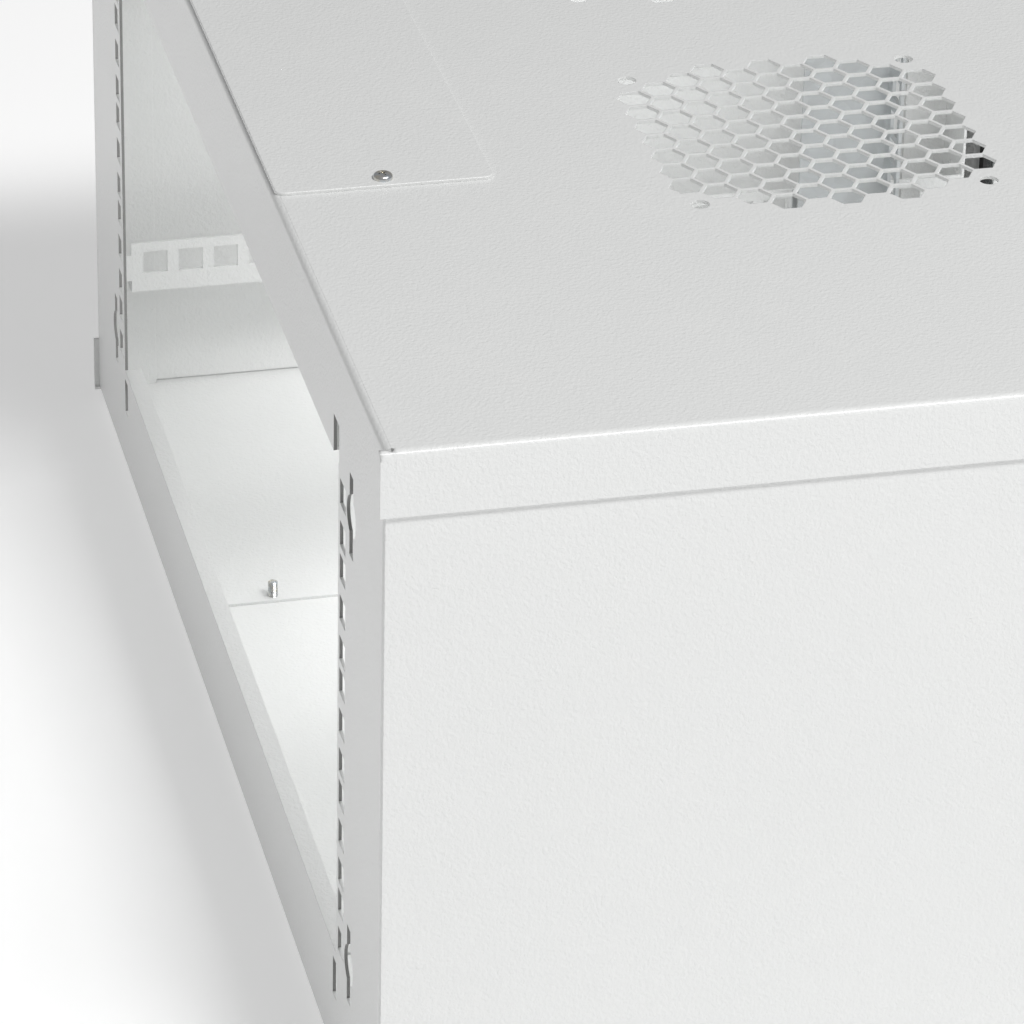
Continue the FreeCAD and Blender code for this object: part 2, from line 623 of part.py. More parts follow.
def make_glazing():
    """The pane behind the door's opening, and the rubber bead round its edge."""
    y = (f"({DOOR_FACE} + sheet)", f"({DOOR_FACE} + sheet + glassThickness)")
    x0, x1, z0, z1 = glass_span("glassLap")
    node(box((x0, y[0], z0), (x1, y[1], z1)), "door_glass")
    bead = (glass_span("glassLap + beadWidth"), glass_span("glassLap - beadCover"))
    (a0, a1, b0, b1), (c0, c1, d0, d1) = bead
    back = f"({y[1]} + beadLip)"
    ring = box((a0, y[0], b0), (a1, back, b1))
    pocket = box((x0, f"{y[0]} - {BEYOND}", z0), (x1, y[1], z1))
    sight = box((c0, f"{y[0]} - {BEYOND}", d0), (c1, f"{back} + {BEYOND}", d1))
    node(cut(ring, [pocket, sight]), "glass_bead")


def make_lock():
    """The cam lock: a barrel and nut in the door, and the plug that turns with the cam."""
    face = (LOCK_X, DOOR_FACE, MIDDLE)
    cam_y = f"({FRONT} + camBehind)"
    length = f"({cam_y} - {DOOR_FACE})"
    ahead = (0, 1, 0)
    head_foot = (LOCK_X, f"{DOOR_FACE} - lockHead", MIDDLE)
    shell = fuse([cylinder("lockHeadRadius", "lockHead", head_foot, ahead),
                  cylinder("barrelRadius", f"{length} - camGap", face, ahead)])
    bore = cylinder("plugRadius + plugClearance", f"{length} + lockHead + 2*{BEYOND}",
                    (LOCK_X, f"{DOOR_FACE} - lockHead - {BEYOND}", MIDDLE), ahead)
    node(cut(shell, [bore]), "lock_barrel")

    nut = doc.addObject("Part::Prism", "lock_nut_blank")
    nut.Polygon = 6
    nut.setExpression("Circumradius", bound("lockNutFlats/2") + "/cos(30)")
    nut.setExpression("Height", bound("lockNutThickness"))
    nut.Placement = FreeCAD.Placement(
        FreeCAD.Vector(), FreeCAD.Rotation(FreeCAD.Vector(1, 0, 0), FreeCAD.Vector(0, 0, 1),
                                           FreeCAD.Vector(0, 1, 0), "ZXY"))
    put(nut, LOCK_X, f"{DOOR_FACE} + sheet", MIDDLE)
    nut_bore = cylinder("barrelRadius", "3*lockNutThickness", face, ahead)
    node(cut(nut, [nut_bore]), "lock_nut")

    plug = cylinder("plugRadius", f"{length} + lockHead - plugSetback",
                    (LOCK_X, f"{DOOR_FACE} - lockHead + plugSetback", MIDDLE), ahead)
    key_slot = box((f"{LOCK_X} - keyWidth/2", f"{DOOR_FACE} - lockHead", f"{MIDDLE} - keyHeight/2"),
                   (f"{LOCK_X} + keyWidth/2", f"{DOOR_FACE} + keyReach", f"{MIDDLE} + keyHeight/2"))
    node(cut(plug, [key_slot]), "lock_plug")

    arm = fuse([box((f"{LOCK_X} - camWidth/2", cam_y, MIDDLE),
                    (f"{LOCK_X} + camWidth/2", f"{cam_y} + camThickness",
                     f"{MIDDLE} + camLength - camWidth/2")),
                cylinder("camEye", "camThickness", (LOCK_X, cam_y, MIDDLE), ahead),
                cylinder("camWidth/2", "camThickness",
                         (LOCK_X, cam_y, f"{MIDDLE} + camLength - camWidth/2"), ahead)])
    cam_bore = cylinder("camScrewRadius", "3*camThickness",
                        (LOCK_X, f"{cam_y} - camThickness", MIDDLE), ahead)
    node(cut(arm, [cam_bore]), "lock_cam")
    cam_screw = screw((LOCK_X, f"({cam_y} + camThickness)", MIDDLE), (0, -1, 0),
                      "camScrewHead", "camScrewHeadHeight", "camScrewRadius", "camThickness")
    node(cam_screw, "lock_cam_screw")


# ---------------------------------------------------------------- feet and earth stud

def make_foot(name, x, y):
    """A rubber foot, turned about its own axis, with a chamfered tread."""
    body = doc.addObject("PartDesign::Body", name)
    sketch = body.newObject("Sketcher::SketchObject", name + "_section")
    plane = next(item for item in body.Origin.OriginFeatures if item.Role == "XZ_Plane")
    sketch.AttachmentSupport = [(plane, "")]
    sketch.MapMode = "FlatFace"
    radius, height, bevel = (number(text) for text in ("footRadius", "footHeight", "footChamfer"))
    corners = [(0, 0), (radius - bevel, 0), (radius, bevel),
               (radius - bevel / 2, height), (0, height)]
    for start, end in zip(corners, corners[1:] + corners[:1]):
        sketch.addGeometry(Part.LineSegment(FreeCAD.Vector(*start, 0), FreeCAD.Vector(*end, 0)))
    turn = body.newObject("PartDesign::Revolution", name + "_turned")
    turn.Profile = sketch
    turn.ReferenceAxis = (sketch, ["V_Axis"])
    turn.Angle = 360
    body.Tip = turn
    put(body, x, y, "0")
    return body


def make_feet():
    feet = []
    for x_side in (-1, 1):
        for y, y_sign in ((FRONT, "+"), (REAR, "-")):
            feet.append(make_foot(f"foot_{len(feet) + 1}", f"{x_side}*({SIDE} - footInset)",
                                  f"{y} {y_sign} footInset"))
    return node(group(feet), "rubber_feet")


def make_earth_stud():
    """The welded earthing stud on the floor, with its washer and nut."""
    x, y = f"({SIDE} - studInset)", f"({FRONT} + studSetback)"
    top = f"({FLOOR} + sheet)"
    node(cylinder("studRadius", "studHeight", (x, y, top)), "earth_stud")
    washer = cylinder("2*studRadius", "washerThickness", (x, y, top))
    flats = doc.addObject("Part::Prism", "earth_nut_blank")
    flats.Polygon = 6
    flats.setExpression("Circumradius", bound("studNutFlats/2") + "/cos(30)")
    flats.setExpression("Height", bound("studNutHeight"))
    put(flats, x, y, f"{top} + washerThickness")
    bore = cylinder("studRadius", f"washerThickness + studNutHeight + 2*{BEYOND}",
                    (x, y, f"{top} - {BEYOND}"))
    node(cut(fuse([washer, flats]), [bore]), "earth_nut")


def build():
    make_cover("top_cover", True)
    make_cover("bottom_cover", False)
    make_rear_frame()
    for label, side in (("left", -1), ("right", 1)):
        make_side_panel(f"side_panel_{label}", side)
        make_depth_rail(f"upper_rail_{label}", side, True)
        make_depth_rail(f"lower_rail_{label}", side, False)
        make_profile(f"mounting_profile_{label}", side)
    make_profile_brackets()
    make_profile_bolts()
    make_cable_plate("top_cable_plate", True)
    make_cable_plate("bottom_cable_plate", False)
    make_plate_screws("top_plate_screws", True)
    make_plate_screws("bottom_plate_screws", False)
    make_front_frame()
    make_hinge_plate("upper_hinge_plate", True)
    make_hinge_plate("lower_hinge_plate", False)
    make_hinge_pins()
    make_door_seal()
    make_door_frame()
    make_hinge_bushes()
    make_glazing()
    make_lock()
    make_feet()
    make_earth_stud()


def check_and_export():
    doc.recompute()
    for item in doc.Objects:
        if {"Invalid", "Error"} & set(item.State):
            raise RuntimeError(f"{item.Label} failed: {item.State}")
    for item in nodes:
        if item.Shape.isNull() or not item.Shape.isValid() or not item.Shape.Solids:
            raise RuntimeError(f"{item.Label} has no valid shape")
    os.makedirs("parts", exist_ok=True)
    for item in nodes:
        item.Shape.exportStep(f"parts/{item.Label}.step")
        limits = item.Shape.BoundBox
        print(f"{item.Label:24s} solids {len(item.Shape.Solids):2d} volume {item.Shape.Volume:11.1f} "
              f"x {limits.XMin:7.1f} {limits.XMax:7.1f} y {limits.YMin:7.1f} {limits.YMax:7.1f} "
              f"z {limits.ZMin:6.1f} {limits.ZMax:6.1f}")


build()
check_and_export()
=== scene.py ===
"""Finishes for the rack cabinet: turned and threaded hardware, paint, metal, rubber and glass."""
import math

import bmesh
import bpy
from bpy.props import FloatProperty, FloatVectorProperty, IntProperty, PointerProperty
from mathutils import Matrix, Vector


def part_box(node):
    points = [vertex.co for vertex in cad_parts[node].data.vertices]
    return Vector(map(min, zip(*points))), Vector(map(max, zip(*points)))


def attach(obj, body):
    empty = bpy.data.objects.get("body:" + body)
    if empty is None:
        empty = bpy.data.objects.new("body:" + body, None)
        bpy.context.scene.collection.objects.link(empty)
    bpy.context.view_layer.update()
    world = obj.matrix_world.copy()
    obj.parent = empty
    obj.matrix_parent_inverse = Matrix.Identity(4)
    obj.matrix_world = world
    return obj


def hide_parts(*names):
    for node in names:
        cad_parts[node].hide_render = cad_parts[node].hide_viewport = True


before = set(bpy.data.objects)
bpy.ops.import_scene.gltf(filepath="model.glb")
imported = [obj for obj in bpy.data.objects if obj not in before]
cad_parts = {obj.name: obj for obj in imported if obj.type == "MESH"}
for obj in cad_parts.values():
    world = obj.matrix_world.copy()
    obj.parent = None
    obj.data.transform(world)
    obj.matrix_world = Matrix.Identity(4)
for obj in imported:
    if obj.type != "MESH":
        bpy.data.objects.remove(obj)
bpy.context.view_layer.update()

bl_info = {
    "name": "Rack cabinet finishes",
    "version": (1, 0, 0),
    "blender": (4, 5, 0),
    "location": "3D View > Sidebar > Cabinet",
    "description": "Hardware and procedural finishes of a small network rack cabinet",
    "category": "Object",
}

MM = 0.001
BEND = 2.4 * MM


# ---------------------------------------------------------------- settings

class CabinetFinish(bpy.types.PropertyGroup):
    """Colours and grain of the cabinet's finishes."""
    paint: FloatVectorProperty(
        name="Paint", description="Colour of the powder coat", subtype="COLOR", size=3,
        default=(0.800, 0.805, 0.798), min=0.0, max=1.0)
    shade: FloatVectorProperty(
        name="Paint shade", description="Colour of the coat's slightly darker patches",
        subtype="COLOR", size=3, default=(0.745, 0.753, 0.747), min=0.0, max=1.0)
    peel_size: FloatProperty(
        name="Peel size", description="Width of one dimple of the coat's orange peel",
        default=1.5 * MM, min=0.5 * MM, max=10 * MM, unit="LENGTH")
    peel_depth: FloatProperty(
        name="Peel depth", description="Depth of the coat's orange peel",
        default=0.42 * MM, min=0.0, max=1 * MM, unit="LENGTH")
    zinc: FloatVectorProperty(
        name="Zinc", description="Colour of the zinc plating", subtype="COLOR", size=3,
        default=(0.62, 0.64, 0.65), min=0.0, max=1.0)
    rubber: FloatVectorProperty(
        name="Rubber", description="Colour of the feet and the glazing bead", subtype="COLOR",
        size=3, default=(0.022, 0.022, 0.023), min=0.0, max=1.0)
    glass: FloatVectorProperty(
        name="Glass", description="Tint of the door's pane", subtype="COLOR", size=3,
        default=(0.66, 0.72, 0.72), min=0.0, max=1.0)


class CabinetHardware(bpy.types.PropertyGroup):
    """Sizes of the turned and threaded pieces."""
    thread_pitch: FloatProperty(
        name="Plate screw pitch", description="Pitch of the cover plates' screws",
        default=0.7 * MM, min=0.3 * MM, max=2 * MM, unit="LENGTH")
    bolt_pitch: FloatProperty(
        name="Bolt pitch", description="Pitch of the bolts and the earth stud",
        default=1.0 * MM, min=0.5 * MM, max=2 * MM, unit="LENGTH")
    thread_sides: IntProperty(
        name="Thread sides", description="Facets round a thread", default=20, min=8, max=48)
    tread_studs: IntProperty(
        name="Tread studs", description="Small studs round each foot's tread",
        default=14, min=6, max=30)


class CabinetStage(bpy.types.PropertyGroup):
    """Camera and light."""
    focal_length: FloatProperty(
        name="Focal length", description="Lens of the camera in millimetres",
        default=191.8, min=20.0, max=400.0)
    key_power: FloatProperty(
        name="Key light", description="Power of the large overhead light", default=83.0,
        min=0.0, max=500.0, unit="POWER")
    sky: FloatProperty(
        name="Surround", description="Strength of the white surround", default=0.30,
        min=0.0, max=4.0)


# ---------------------------------------------------------------- shader and geometry nodes

class Flow:
    """A socket that takes part in Python arithmetic, each operator adding one Math node."""

    def __init__(self, maker, socket):
        self.maker = maker
        self.socket = socket

    def math(self, operation, first, second=None):
        values = {0: first} if second is None else {0: first, 1: second}
        return self.maker.node("ShaderNodeMath", {"operation": operation}, values)

    def __add__(self, other):
        return self.math("ADD", self, other)

    __radd__ = __add__

    def __sub__(self, other):
        return self.math("SUBTRACT", self, other)

    def __rsub__(self, other):
        return self.math("SUBTRACT", other, self)

    def __mul__(self, other):
        return self.math("MULTIPLY", self, other)

    __rmul__ = __mul__

    def above(self, limit):
        return self.math("GREATER_THAN", self, limit)

    def size(self):
        return self.math("ABSOLUTE", self)


class Finish:
    """A new material, with one method that makes any node of it."""

    def __init__(self, name):
        self.material = bpy.data.materials.new("finish_" + name)
        self.material.use_nodes = True
        self.tree = self.material.node_tree
        self.tree.nodes.clear()
        self.place = self.node("ShaderNodeTexCoord", output="Object")

    def node(self, kind, settings=None, values=None, output=0):
        made = self.tree.nodes.new(kind)
        for name, value in (settings or {}).items():
            setattr(made, name, value)
        for name, value in (values or {}).items():
            if isinstance(value, Flow):
                self.tree.links.new(value.socket, made.inputs[name])
            else:
                made.inputs[name].default_value = value
        return Flow(self, made.outputs[output])

    def ramp(self, value, *stops):
        """A colour ramp from (position, grey or colour) stops."""
        made = self.tree.nodes.new("ShaderNodeValToRGB")
        elements = made.color_ramp.elements
        while len(elements) < len(stops):
            elements.new(0.5)
        for element, (position, shade) in zip(elements, stops):
            element.position = position
            rgb = (shade,) * 3 if isinstance(shade, (int, float)) else tuple(shade)
            element.color = rgb[:3] + (1.0,)
        self.tree.links.new(value.socket, made.inputs["Fac"])
        return Flow(self, made.outputs["Color"])

    def noise(self, width, detail=2.0, roughness=0.5, place=None, distortion=0.0):
        """Noise whose lumps are about as wide as given, in metres."""
        return self.node("ShaderNodeTexNoise", {"noise_dimensions": "3D"},
                         {"Vector": place or self.place, "Scale": 1.0 / width, "Detail": detail,
                          "Roughness": roughness, "Distortion": distortion}, output="Fac")

    def cells(self, width, output="Distance", feature="F1", place=None):
        return self.node("ShaderNodeTexVoronoi", {"feature": feature},
                         {"Vector": place or self.place, "Scale": 1.0 / width}, output=output)

    def along(self, axis, vector=None):
        """One coordinate of a vector, or of the place on the piece when none is given."""
        return self.node("ShaderNodeSeparateXYZ", None, {0: vector or self.place}, output=axis)

    def stretched(self, factors):
        """Object coordinates squeezed along the axes, for drawn or turned marks."""
        return self.node("ShaderNodeMapping", None, {"Vector": self.place, "Scale": factors},
                         output="Vector")

    def blend(self, factor, first, second):
        made = self.tree.nodes.new("ShaderNodeMix")
        made.data_type = "RGBA"
        for socket, value in ((made.inputs[0], factor), (made.inputs[6], first),
                              (made.inputs[7], second)):
            if isinstance(value, Flow):
                self.tree.links.new(value.socket, socket)
            else:
                socket.default_value = value if isinstance(value, float) else tuple(value)[:3] + (1.0,)
        return Flow(self, made.outputs[2])

    def bump(self, height, distance, strength=1.0, below=None):
        values = {"Height": height, "Distance": distance, "Strength": strength}
        if below is not None:
            values["Normal"] = below
        return self.node("ShaderNodeBump", None, values, output="Normal")

    def eased(self, radius):
        """The normal with every edge rounded by this much, as a coat of paint rounds it."""
        return self.node("ShaderNodeBevel", {"samples": 6}, {"Radius": radius}, output="Normal")

    def done(self, values):
        """Join the Principled shader with these socket values to the output."""
        shader = self.node("ShaderNodeBsdfPrincipled", None, values)
        self.node_out(shader)
        return self.material

    def node_out(self, shader):
        out = self.tree.nodes.new("ShaderNodeOutputMaterial")
        self.tree.links.new(shader.socket, out.inputs["Surface"])


def solid(colour):
    return tuple(colour)[:3] + (1.0,)


def hole_wall_shade_mask(coat):
    """One on the walls of the rear sheet's holes, zero elsewhere: the mask where painted shade darkens
    those walls.
    """
    side_edge, rear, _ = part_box("rear_frame")[1]
    thickness = 1.2 * MM
    outer_skin = 0.05 * MM
    edge_fold = 3 * MM
    faces_back = 0.4
    faces_side = 0.2
    depth = coat.along("Y")
    facing = coat.node("ShaderNodeNewGeometry", output="Normal")
    in_sheet = depth.above(rear - thickness) * (1.0 - depth.above(rear - outer_skin))
    wall = (1.0 - coat.along("Y", facing).size().above(faces_back))
    wall = wall * coat.along("X", facing).size().above(faces_side)
    inboard = 1.0 - coat.along("X").size().above(side_edge - edge_fold)
    return in_sheet * wall * inboard


def bend_normal(coat):
    """The normal with edges eased by the paint, and the long side bends rounded right through."""
    side, _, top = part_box("top_cover")[1]
    corner = BEND * 1.3
    plain_rounding = 0.35 * MM
    at_bend = coat.along("X").size().above(side - corner) * coat.along("Z").above(top - corner)
    made = coat.tree.nodes.new("ShaderNodeMix")
    made.data_type = "VECTOR"
    for socket, value in ((made.inputs[0], at_bend), (made.inputs[4], coat.eased(plain_rounding)),
                          (made.inputs[5], coat.eased(BEND))):
        coat.tree.links.new(value.socket, socket)
    return Flow(coat, made.outputs[1])


def paint_finish(name, settings, shade_hole_walls=False):
    """Light grey powder coat: uneven orange peel, fine pits, faint patches and handling dust."""
    coat = Finish(name)
    patches = coat.noise(90 * MM, 3.0, 0.6)
    mottle = coat.noise(7 * MM, 3.0, 0.55)
    grain = coat.noise(0.45 * MM, 2.0, 0.6)
    tone = patches * 0.45 + mottle * 0.35 + grain * 0.20
    colour = coat.blend(tone, solid(settings.shade), solid(settings.paint))
    specks = coat.ramp(coat.cells(5.5 * MM), (0.0, 1.0), (0.055, 0.0))
    colour = coat.blend(specks * 0.10, colour, (0.42, 0.42, 0.41))
    dust = coat.ramp(coat.noise(28 * MM, 5.0, 0.65), (0.52, 0.0), (0.75, 1.0))
    colour = coat.blend(dust * 0.10, colour, (0.80, 0.80, 0.78))
    lumps = coat.noise(settings.peel_size, 1.5, 0.45, distortion=0.35)
    fine = coat.noise(settings.peel_size * 0.42, 1.0, 0.5)
    broad = coat.noise(14 * MM, 2.0, 0.5)
    pits = coat.ramp(coat.cells(3.1 * MM), (0.0, 0.0), (0.09, 1.0))
    height = lumps * 0.62 + fine * 0.22 + broad * 0.12 + pits * 0.04
    # Painted shade: the walls of the holes in the rear sheet are darkened nearly to black, as if
    # shaded by the sheet around them.
    if shade_hole_walls:
        colour = coat.blend(hole_wall_shade_mask(coat) * 0.85, colour, (0.17, 0.17, 0.165))
    rough = mottle * 0.08 + dust * 0.07 + grain * 0.05 + 0.34
    return coat.done({"Base Color": colour, "Roughness": rough, "Specular IOR Level": 0.42,
                      "Coat Weight": 0.35, "Coat Roughness": 0.16,
                      "Normal": coat.bump(height, settings.peel_depth, below=bend_normal(coat))})


def sheet_zinc_finish(settings):
    """Zinc-coated sheet: crystal spangle, rolling lines and a few dull stains."""
    zinc = Finish("zinc_sheet")
    spangle = zinc.cells(6 * MM, "Color")
    split = zinc.node("ShaderNodeSeparateColor", None, {"Color": spangle}, output="Red")
    rolling = zinc.noise(1.1 * MM, 3.0, 0.6, place=zinc.stretched((1.0, 0.05, 1.0)))
    stain = zinc.ramp(zinc.noise(22 * MM, 4.0, 0.6), (0.45, 0.0), (0.72, 1.0))
    tone = split * 0.55 + rolling * 0.45
    dark = tuple(part * 0.80 for part in settings.zinc)
    colour = zinc.blend(tone, solid(dark), solid(settings.zinc))
    colour = zinc.blend(stain * 0.30, colour, (0.50, 0.50, 0.49))
    rough = split * 0.14 + rolling * 0.10 + stain * 0.16 + 0.30
    height = rolling * 0.5 + split * 0.5
    return zinc.done({"Base Color": colour, "Metallic": 1.0, "Roughness": rough,
                      "Normal": zinc.bump(height, 0.03 * MM, 0.7)})


def plated_finish(settings):
    """Bright zinc plating of the screws: fine scratches and a faint blue and straw cast."""
    plate = Finish("screw_zinc")
    cast = plate.noise(3.2 * MM, 2.0, 0.5)
    colour = plate.ramp(cast, (0.30, (0.60, 0.66, 0.72)), (0.52, (0.70, 0.70, 0.69)),
                        (0.74, (0.74, 0.70, 0.60)))
    scratches = plate.noise(0.22 * MM, 4.0, 0.7, place=plate.stretched((1.0, 1.0, 0.18)))
    dirt = plate.ramp(plate.noise(1.4 * MM, 5.0, 0.6), (0.50, 0.0), (0.78, 1.0))
    colour = plate.blend(dirt * 0.35, colour, (0.30, 0.30, 0.30))
    rough = scratches * 0.16 + dirt * 0.20 + 0.18
    return plate.done({"Base Color": colour, "Metallic": 1.0, "Roughness": rough,
                       "Normal": plate.bump(scratches, 0.02 * MM, 0.6)})


def nickel_finish():
    """Satin nickel of the lock, with the fine rings of the lathe and light wear."""
    nickel = Finish("lock_nickel")
    grain = nickel.noise(0.16 * MM, 3.0, 0.6, place=nickel.stretched((1.0, 0.2, 1.0)))
    wear = nickel.ramp(nickel.noise(3.6 * MM, 4.0, 0.6), (0.48, 0.0), (0.70, 1.0))
    colour = nickel.blend(wear * 0.5, (0.74, 0.73, 0.71), (0.60, 0.585, 0.56))
    rough = grain * 0.12 + wear * 0.14 + 0.16
    return nickel.done({"Base Color": colour, "Metallic": 1.0, "Roughness": rough,
                        "Normal": nickel.bump(grain, 0.012 * MM, 0.5)})


def rubber_finish(settings):
    """Moulded black rubber: a fine matt skin, grey bloom and caught dust."""
    rubber = Finish("black_rubber")
    skin = rubber.noise(0.35 * MM, 3.0, 0.6)
    bloom = rubber.ramp(rubber.noise(6 * MM, 4.0, 0.6), (0.44, 0.0), (0.74, 1.0))
    specks = rubber.ramp(rubber.cells(2.3 * MM), (0.0, 1.0), (0.07, 0.0))
    colour = rubber.blend(bloom * 0.5, solid(settings.rubber), (0.050, 0.050, 0.049))
    colour = rubber.blend(specks * 0.5, colour, (0.16, 0.155, 0.15))
    rough = skin * 0.14 + bloom * 0.10 + 0.62
    return rubber.done({"Base Color": colour, "Roughness": rough, "Specular IOR Level": 0.4,
                        "Normal": rubber.bump(skin, 0.05 * MM, 0.8)})


def foam_finish():
    """Closed-cell foam strip: cut cells with thin walls."""
    foam = Finish("seal_foam")
    cell = foam.cells(0.55 * MM)
    wider = foam.noise(5 * MM, 3.0, 0.6)
    colour = foam.blend(cell * 1.4, (0.055, 0.055, 0.056), (0.018, 0.018, 0.018))
    colour = foam.blend(wider * 0.4, colour, (0.075, 0.074, 0.072))
    rough = cell * 0.10 + 0.84
    return foam.done({"Base Color": colour, "Roughness": rough, "Specular IOR Level": 0.25,
                      "Normal": foam.bump(1.0 - cell, 0.12 * MM)})


def nylon_finish():
    """Natural nylon of the hinge bushes, slightly waxy, with flow marks."""
    nylon = Finish("nylon")
    flow = nylon.noise(2.2 * MM, 3.0, 0.55, place=nylon.stretched((1.0, 1.0, 0.3)), distortion=0.8)
    skin = nylon.noise(0.3 * MM, 2.0, 0.5)
    colour = nylon.blend(flow, (0.76, 0.755, 0.70), (0.66, 0.65, 0.59))
    rough = flow * 0.12 + skin * 0.10 + 0.36
    return nylon.done({"Base Color": colour, "Roughness": rough, "Subsurface Weight": 0.15,
                       "Subsurface Radius": (0.0012, 0.0012, 0.0010),
                       "Normal": nylon.bump(skin, 0.03 * MM, 0.6)})


def glass_finish(settings):
    """Toughened pane: a light tint, faint roller wave, wiped smears and a little dust."""
    pane = Finish("tinted_glass")
    wave = pane.noise(60 * MM, 1.0, 0.4, place=pane.stretched((1.0, 1.0, 0.25)))
    smear = pane.ramp(pane.noise(35 * MM, 5.0, 0.65, place=pane.stretched((0.35, 1.0, 1.0)),
                                 distortion=0.6), (0.46, 0.0), (0.75, 1.0))
    dust = pane.ramp(pane.cells(4.2 * MM), (0.0, 1.0), (0.05, 0.0))
    colour = pane.blend(smear * 0.25 + dust * 0.35, solid(settings.glass), (0.80, 0.81, 0.80))
    rough = smear * 0.07 + dust * 0.20 + 0.03
    cover = smear * 0.035 + dust * 0.20 + 0.10
    return pane.done({"Base Color": colour, "Roughness": rough, "IOR": 1.50, "Alpha": cover,
                      "Normal": pane.bump(wave, 0.05 * MM, 0.35)})


def material(name):
    return bpy.data.materials["finish_" + name]


def dress(node, name):
    """Put a finish in every material slot of a CAD node."""
    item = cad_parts[node]
    if not item.material_slots:
        item.data.materials.append(material(name))
    for slot in item.material_slots:
        slot.material = material(name)


# ---------------------------------------------------------------- mesh helpers

def mesh_object(name, mesh, finish):
    made = bpy.data.objects.new(name, mesh)
    mesh.materials.clear()
    mesh.materials.append(material(finish))
    bpy.context.scene.collection.objects.link(made)
    return made


def turned(bm, profile, sides):
    """Revolve a closed profile of (radius, height) points about Z, poles included."""
    rings = []
    for radius, height in profile:
        if radius == 0:
            rings.append([bm.verts.new((0.0, 0.0, height))])
            continue
        rings.append([bm.verts.new((radius * math.cos(2 * math.pi * k / sides),
                                    radius * math.sin(2 * math.pi * k / sides), height))
                      for k in range(sides)])
    for low, high in zip(rings, rings[1:]):
        for k in range(sides):
            corners = [low[k % len(low)], low[(k + 1) % len(low)],
                       high[(k + 1) % len(high)], high[k % len(high)]]
            unique = list(dict.fromkeys(corners))
            if len(unique) > 2:
                bm.faces.new(unique)


def smooth_by_angle(mesh, degrees=32):
    """Shade smooth, with the sharp edges kept."""
    bm = bmesh.new()
    bm.from_mesh(mesh)
    limit = math.radians(degrees)
    for face in bm.faces:
        face.smooth = True
    for edge in bm.edges:
        edge.smooth = len(edge.link_faces) == 2 and edge.calc_face_angle() < limit
    bm.to_mesh(mesh)
    bm.free()


def facing(direction):
    """The turn that takes +Z to a direction."""
    return Vector((0, 0, 1)).rotation_difference(Vector(direction)).to_matrix().to_4x4()


def pan_profile(radius, height, corner):
    """Half section of a pan head: flat seat at zero, low domed top."""
    points = [(0.0, 0.0), (radius, 0.0), (radius, height * 0.30)]
    steps = 7
    for step in range(1, steps + 1):
        turn = math.pi / 2 * step / steps
        points.append((radius - corner + corner * math.cos(turn),
                       height * 0.30 + height * 0.58 * math.sin(turn)))
    points.append(((radius - corner) * 0.5, height * 0.97))
    points.append((0.0, height))
    return points


def cross_cutter(reach, width, depth, top):
    """Tapered cross that cuts a screw's recess: four wings meeting in a point."""
    bm = bmesh.new()
    for turn in (0, math.pi / 2):
        spin = Matrix.Rotation(turn, 4, "Z")
        upper = [(-reach, -width), (reach, -width), (reach, width), (-reach, width)]
        low = 0.34
        corners = [bm.verts.new(spin @ Vector((x, y, top + width))) for x, y in upper]
        feet = [bm.verts.new(spin @ Vector((x * low, y * 0.55, top - depth))) for x, y in upper]
        bm.faces.new(corners)
        bm.faces.new(feet[::-1])
        for k in range(4):
            bm.faces.new((corners[k], feet[k], feet[(k + 1) % 4], corners[(k + 1) % 4]))
    bmesh.ops.recalc_face_normals(bm, faces=bm.faces)
    mesh = bpy.data.meshes.new("cross")
    bm.to_mesh(mesh)
    bm.free()
    return bpy.data.objects.new("cross", mesh)


def plain_mesh(obj):
    """The evaluated mesh of an object, its modifiers applied."""
    bpy.context.view_layer.update()
    graph = bpy.context.evaluated_depsgraph_get()
    return bpy.data.meshes.new_from_object(obj.evaluated_get(graph))


def pan_head(radius, height):
    """A domed screw head with a cross recess, seat at zero and top along +Z."""
    bm = bmesh.new()
    turned(bm, pan_profile(radius, height, radius * 0.38), 40)
    bmesh.ops.recalc_face_normals(bm, faces=bm.faces)
    mesh = bpy.data.meshes.new("head")
    bm.to_mesh(mesh)
    bm.free()
    head = bpy.data.objects.new("head", mesh)
    cutter = cross_cutter(radius * 0.62, radius * 0.115, height * 0.80, height)
    for item in (head, cutter):
        bpy.context.scene.collection.objects.link(item)
    recess = head.modifiers.new("recess", "BOOLEAN")
    recess.object = cutter
    recess.operation = "DIFFERENCE"
    recess.solver = "EXACT"
    recess.use_self = True
    result = plain_mesh(head)
    for item in (head, cutter):
        bpy.data.objects.remove(item)
    return result


# ---------------------------------------------------------------- geometry nodes

